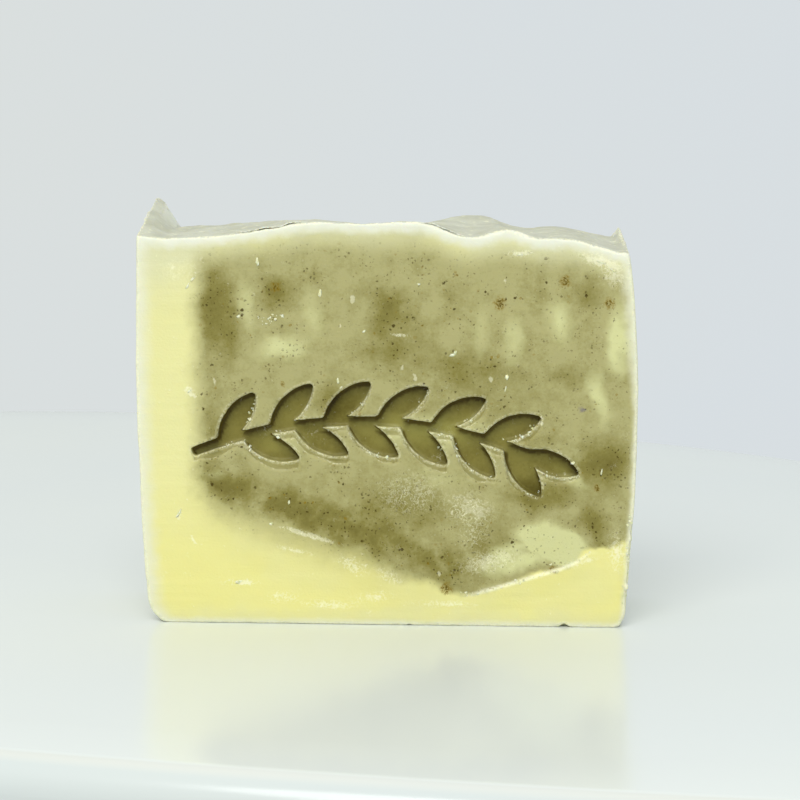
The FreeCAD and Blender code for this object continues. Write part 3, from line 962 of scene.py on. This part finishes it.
# Bright flecks on the front: centre, half its length and width, and its turn from level in degrees.
FLECKS_MM = (
    ((-20.5, 58.3), (0.70, 0.26), 100),
    ((-10.6, 53.3), (0.60, 0.28), 85),
    ((-23.5, 49.6), (0.34, 0.26), 20),
    ((-30.9, 55.4), (0.55, 0.20), 50),
    ((-31.6, 54.4), (0.45, 0.16), 60),
    ((10.5, 43.8), (0.55, 0.24), 15),
    ((10.9, 44.2), (0.30, 0.20), 60),
    ((19.1, 40.3), (0.42, 0.30), 70),
    ((18.9, 38.4), (0.50, 0.10), 80),
    ((-7.7, 39.4), (0.50, 0.18), 100),
    ((-7.2, 38.4), (0.26, 0.16), 40),
    ((-33.2, 17.8), (0.80, 0.18), 62),
    ((-31.4, 37.6), (0.40, 0.12), 40),
    ((-23.6, 6.8), (0.60, 0.22), 8),
    ((-15.5, 19.8), (0.36, 0.16), 90),
    ((-18.4, 16.3), (0.30, 0.18), 20),
    ((34.3, 25.2), (0.55, 0.12), 80),
    ((20.9, 59.8), (0.60, 0.12), 4),
    ((22.6, 60.1), (0.45, 0.10), 0),
    ((33.8, 58.6), (0.70, 0.11), -18),
    ((35.6, 57.4), (0.55, 0.12), -30),
    ((-3.6, 47.4), (0.28, 0.18), 45),
    ((5.0, 55.0), (0.30, 0.14), 0),
    ((26.4, 10.2), (0.28, 0.16), 30),
)

# The ring that stands out above the left of the sprig: centre and radius.
RING_MM = ((-18.2, 52.2), 3.2)

# How far behind the front cut each row of the lifted skin lies, and its share of the lift.
SKIN_CURL = ((0.45, 1.0), (0.8, 0.85), (1.3, 0.45), (1.9, 0.12), (2.6, -0.05))

# Where the skin lifts along the top front edge: its start, its end, and its share of the full lift.
LIFTED_MM = ((-25.5, -12.0, 1.0), (4.5, 12.8, 0.8), (23.0, 27.5, 0.5))

# How far apart the columns of that skin's points are, and how far its root is sunk in the soap.
SKIN_COLUMN_MM = 0.15
SKIN_ROOT_MM = 0.12


def crumb_size(settings, draw):
    """The half length and half width of a crumb. Most are small."""
    length = settings.smallest / MM + (settings.largest - settings.smallest) / MM * draw.random() ** 2
    return length, length * draw.uniform(0.35, 0.9)


def rim_spots(press):
    """Places just below and just right of the pressed sprig, where the crumbs gather in clusters."""
    deep = press.heights > 1.2
    flat = press.heights < 0.05
    reach = round(0.4 / press.step)
    below = flat[:, :-reach] & deep[:, reach:]
    beside = flat[reach:, :] & deep[:-reach, :]
    rims = np.concatenate((np.argwhere(below), np.argwhere(beside)[::3])) * press.step + press.low
    level = np.insert(rims, 1, 0, axis=1)
    return rims[hills(level, 2.2, SEED + 20) + 0.5 * hills(level, 0.9, SEED + 21) > 0.12]


def edge_spot(number, shape, draw):
    """A place for one crumb. Of five, two are on the right edge, two on the seam and one on the ring."""
    kind = number % 5
    if kind < 2:
        height = draw.uniform(3.5, 19.0)
        return shape.right.at(np.array((height,)), np.zeros(1))[0] - draw.uniform(0.15, 0.9), height
    if kind < 4:
        across = draw.uniform(12.0, 33.0)
        return across, seam_height(across) + draw.normal(-0.1, 0.25)
    (across, height), radius = RING_MM
    turn = math.radians(draw.normal(-95, 26))
    reach = radius + draw.normal(0, 0.45)
    return across + reach * math.cos(turn), height + reach * math.sin(turn)


def crumb_places(shape, settings, draw):
    """The centre, half length and half width, and turn of every crumb, across the front."""
    yield from FLECKS_MM
    rims = rim_spots(shape.press)
    for _ in range(settings.rim_crumbs):
        spot = rims[draw.integers(len(rims))] + draw.normal(0, 0.12, 2)
        yield spot, crumb_size(settings, draw), draw.uniform(0, 180)
    for number in range(settings.edge_crumbs):
        spot = edge_spot(number, shape, draw)
        yield spot, crumb_size(settings, draw), draw.uniform(0, 180)


def add_crumb(form, touch, halves, turn, draw):
    """Adds a lumpy, flattened crumb where it touches the bar."""
    length, width = halves
    flattened = Matrix.Diagonal((length, min(length, width) * 0.5, width, 1))
    spin = Matrix.Rotation(math.radians(-turn), 4, "Y") @ flattened
    grown = bmesh.ops.create_icosphere(form, subdivisions=2, radius=1)["verts"]
    bends = 1 + 0.22 * draw.normal(size=len(grown))
    for vertex, bend in zip(grown, bends):
        bow = Vector((0, 0, 0.5 * vertex.co.x ** 2 * width))
        vertex.co = (spin @ (vertex.co * bend) + bow + touch) * MM


class SOAP_OT_make_crumbs(bpy.types.Operator):
    """Stick crumbs to the front of the bar"""

    bl_idname = "soap.make_crumbs"
    bl_label = "Crumbs"

    def execute(self, context):
        settings = context.scene.soap_crumbs
        shape = BarShape(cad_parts[NODE].data)
        surface = surface_of(bpy.data.objects[DRESSED].data)
        draw = np.random.default_rng(SEED)
        form = bmesh.new()
        for (across, height), halves, turn in crumb_places(shape, settings, draw):
            touch = surface.ray_cast(Vector((across, -FAR_MM, height)), Vector((0, 1, 0)))[0]
            if touch is not None:
                add_crumb(form, touch, halves, turn, draw)
        mesh = bpy.data.meshes.new("crumbs")
        form.to_mesh(mesh)
        form.free()
        shade_smooth(mesh)
        colours = context.scene.soap_marbling
        mesh.materials.append(crumb_material("dried_crumbs", colours.cream, colours.chalk))
        crumbs = link(bpy.data.objects.new("crumbs", mesh))
        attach(crumbs, BODY)
        return {"FINISHED"}


def skin_strip(surface, start, end, share, settings):
    """Columns of points across one strip of lifted skin, from its start to its end."""
    columns = int((end - start) / SKIN_COLUMN_MM)
    for column in range(columns + 1):
        along = column / columns
        across = start + (end - start) * along
        stand = math.sin(math.pi * along) ** 0.6 * share * settings.skin_lift / MM
        sideways, upward = hills(np.array(((across, 0, 0), (across, 9, 0))), 1.4, SEED + 30)
        points = []
        for back, share_up in SKIN_CURL:
            y = FRONT_MM + back + 0.25 * sideways * share_up
            ground = surface.ray_cast(Vector((across, y, FAR_MM)), Vector((0, 0, -1)))[0]
            lift = stand * share_up * (0.9 + 0.3 * upward)
            points.append(Vector((across, y, ground.z - SKIN_ROOT_MM + lift)) * MM)
        yield points


class SOAP_OT_lift_skin(bpy.types.Operator):
    """Lift the thin skin along the top front edge of the bar"""

    bl_idname = "soap.lift_skin"
    bl_label = "Lifted skin"

    def execute(self, context):
        settings = context.scene.soap_crumbs
        surface = surface_of(bpy.data.objects[DRESSED].data)
        rows = len(SKIN_CURL)
        spots, faces = [], []
        for start, end, share in LIFTED_MM:
            strip = list(skin_strip(surface, start, end, share, settings))
            for column in range(len(strip) - 1):
                for row in range(rows - 1):
                    corner = len(spots) + column * rows + row
                    faces.append((corner, corner + rows, corner + rows + 1, corner + 1))
            spots += [point for column in strip for point in column]
        mesh = bpy.data.meshes.new("lifted_skin")
        mesh.from_pydata(spots, [], faces)
        skin = link(bpy.data.objects.new("lifted_skin", mesh))
        body = skin.modifiers.new("Thickness", "SOLIDIFY")
        body.thickness = settings.skin_thickness
        apply_modifiers(skin)
        shade_smooth(skin.data)
        colours = context.scene.soap_marbling
        # The lifted skin runs from the top's skin colour, which holds painted shade, to the paler bloom.
        skin.data.materials.append(crumb_material("dried_skin", colours.skin, colours.bloom))
        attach(skin, BODY)
        return {"FINISHED"}


# The two softboxes: where each hangs and how wide it is, in metres.
KEY_BOX = ((-0.11, -0.63, 0.74), 0.60)
FILL_BOX = ((0.10, -0.75, 0.22), 0.50)

# The board that the bar stands on, in metres.
BOARD_CENTRE = (-0.088, -0.018)
BOARD_THICKNESS = 0.012
BOARD_ROUNDING = 0.005

# The curve of its front edge: a place on it, its slope there and its bend.
BOARD_FRONT = ((0.005, -0.099), -0.175, 0.65)


def soft_box(name, place, size, power, aim):
    """A round softbox that faces what the camera looks at."""
    light = link(bpy.data.objects.new(name, bpy.data.lights.new(name, "AREA")))
    light.data.shape = "DISK"
    light.data.size = size
    light.data.energy = power
    light.location = place
    light.rotation_euler = (Vector(aim) - Vector(place)).to_track_quat("-Z", "Y").to_euler()


def front_edge(x):
    """How far forward the board's front edge runs at a place across it, in metres."""
    (across, forward), slope, bend = BOARD_FRONT
    return forward + slope * (x - across) + bend * (x - across) ** 2


def board(name, radius):
    """A board whose back edge is round and whose front edge runs across in a flat curve."""
    centre = BOARD_CENTRE
    turns = np.linspace(-0.5 * math.pi, 1.5 * math.pi, 361)
    arc = [(centre[0] + radius * math.cos(turn), centre[1] + radius * math.sin(turn)) for turn in turns]
    rim = [Vector((x, y, 0)) for x, y in arc if y > front_edge(x)]
    rim += [Vector((x, front_edge(x), 0)) for x in np.linspace(rim[-1].x, rim[0].x, 121)[1:-1]]
    middle = sum(rim, Vector()) / len(rim)
    along = [after - before for before, after in zip(rim[-1:] + rim[:-1], rim[1:] + rim[:1])]
    outward = [Vector((step.y, -step.x, 0)).normalized() for step in along]
    rings = [[middle.lerp(spot, share) for spot in rim] for share in (0.02, 0.3, 0.6, 0.9, 1.0)]
    for turn in np.linspace(0, math.pi / 2, 9)[1:]:
        drop = Vector((0, 0, BOARD_ROUNDING * (math.cos(turn) - 1)))
        out = BOARD_ROUNDING * math.sin(turn)
        rings.append([spot + way * out + drop for spot, way in zip(rim, outward)])
    rings.append([Vector((spot.x, spot.y, -BOARD_THICKNESS)) for spot in rings[-1]])
    count = len(rim)
    faces = [tuple(range(count))]
    for ring in range(len(rings) - 1):
        for spot in range(count):
            near, far = ring * count + spot, ring * count + (spot + 1) % count
            faces.append((near, near + count, far + count, far))
    mesh = bpy.data.meshes.new(name)
    mesh.from_pydata([spot for ring in rings for spot in ring], [], faces)
    mesh.polygons.foreach_set("use_smooth", np.arange(len(faces)) < len(faces) - count)
    return link(bpy.data.objects.new(name, mesh))


def paper_surround(settings):
    """Pale paper all round the set, a little warmer on the left."""
    world = bpy.data.worlds.new("surround")
    way = Signal.start(empty_tree(world), "ShaderNodeTexCoord", output="Generated")
    share = (way.axis("X") * 2.2 + way.noise(0.16, 3.0, 0.6) * 0.9 + 0.05).held()
    paper = share.ramp(settings.surround_left, settings.surround_right)
    background = paper.node("ShaderNodeBackground", {}, {"Color": paper})
    background.node("ShaderNodeOutputWorld", {}, {"Surface": background})
    return world


class SOAP_OT_make_studio(bpy.types.Operator):
    """Make the floor, the lights and the camera"""

    bl_idname = "soap.make_studio"
    bl_label = "Studio"

    def execute(self, context):
        settings = context.scene.soap_studio
        scene = context.scene
        floor = board("floor", settings.floor_radius)
        floor.data.materials.append(floor_material(settings))

        aim = settings.camera_aim
        soft_box("key", *KEY_BOX, settings.key_power, aim)
        soft_box("fill", *FILL_BOX, settings.fill_power, aim)
        scene.world = paper_surround(settings)

        camera = link(bpy.data.objects.new("camera", bpy.data.cameras.new("camera")))
        camera.location = settings.camera_place
        sight = (Vector(aim) - camera.location).to_track_quat("-Z", "Y").to_matrix()
        camera.rotation_euler = (sight @ Matrix.Rotation(settings.camera_roll, 3, "Z")).to_euler()
        camera.data.sensor_width = 36
        camera.data.lens = settings.lens
        camera.data.clip_start = 0.01
        scene.camera = camera
        scene.view_settings.view_transform = "Standard"
        return {"FINISHED"}


class SOAP_PT_panel(bpy.types.Panel):
    """Lists the bar's settings and what makes each piece"""

    bl_idname = "SOAP_PT_panel"
    bl_label = "Bar of soap"
    bl_space_type = "VIEW_3D"
    bl_region_type = "UI"
    bl_category = "Soap"

    def draw(self, context):
        for operator, groups in STEPS:
            box = self.layout.box()
            box.operator(operator.bl_idname)
            for group in groups:
                settings = getattr(context.scene, group)
                for name in SETTINGS[group].__annotations__:
                    box.prop(settings, name)


SETTINGS = {"soap_bar": BarSettings, "soap_crumbs": CrumbSettings, "soap_marbling": MarblingSettings,
    "soap_studio": StudioSettings}
STEPS = ((SOAP_OT_make_bar, ("soap_bar", "soap_marbling")), (SOAP_OT_make_crumbs, ("soap_crumbs",)),
    (SOAP_OT_lift_skin, ()), (SOAP_OT_make_studio, ("soap_studio",)))
CLASSES = (*SETTINGS.values(), *(operator for operator, _ in STEPS), SOAP_PT_panel)


def register():
    """Makes the classes known to Blender and gives the scene their settings."""
    for part in CLASSES:
        bpy.utils.register_class(part)
    for name, group in SETTINGS.items():
        setattr(bpy.types.Scene, name, bpy.props.PointerProperty(type=group))


def unregister():
    """Takes the settings and the classes away again."""
    for name in SETTINGS:
        delattr(bpy.types.Scene, name)
    for part in reversed(CLASSES):
        bpy.utils.unregister_class(part)


def main():
    """Makes the bar, its crumbs and skin, and the studio."""
    register()
    bpy.ops.soap.make_bar()
    bpy.ops.soap.make_crumbs()
    bpy.ops.soap.lift_skin()
    bpy.ops.soap.make_studio()


if __name__ == "__main__":
    main()
